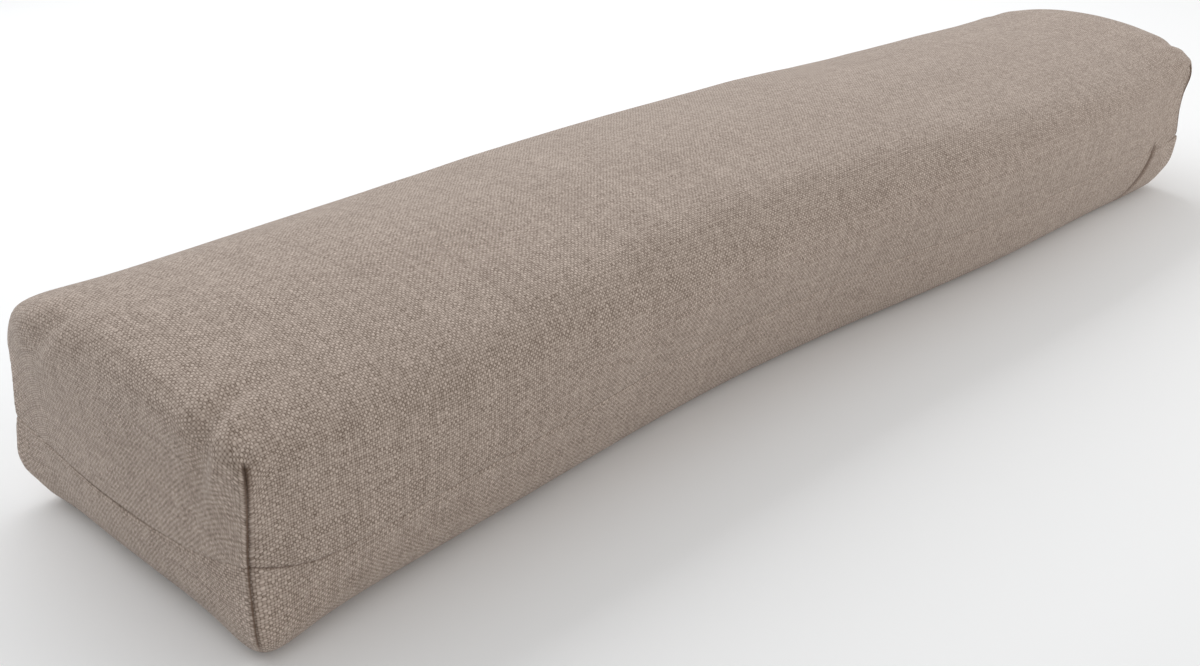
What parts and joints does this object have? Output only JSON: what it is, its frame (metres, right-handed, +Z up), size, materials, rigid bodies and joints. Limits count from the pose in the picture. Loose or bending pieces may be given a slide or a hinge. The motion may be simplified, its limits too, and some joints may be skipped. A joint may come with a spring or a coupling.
{
  "type": "yoga bolster",
  "caption": "Slim filled cushion in coarse woven linen, with darted box corners and one seam round its sides, for lying and breathing work.",
  "frame": {"origin": "middle of the underside, on the surface that the cushion lies on", "axes": "+X along the length towards the far end of the picture, +Y across it towards the hidden long side, +Z up"},
  "size_m": [0.7226, 0.1752, 0.1068],
  "materials": {
    "cover": "matt coarse plain weave, taupe, with paler yarn crowns and dark flecks"
  },
  "bodies": {
    "root": {"bolster": "cover"}
  },
  "joints": []
}
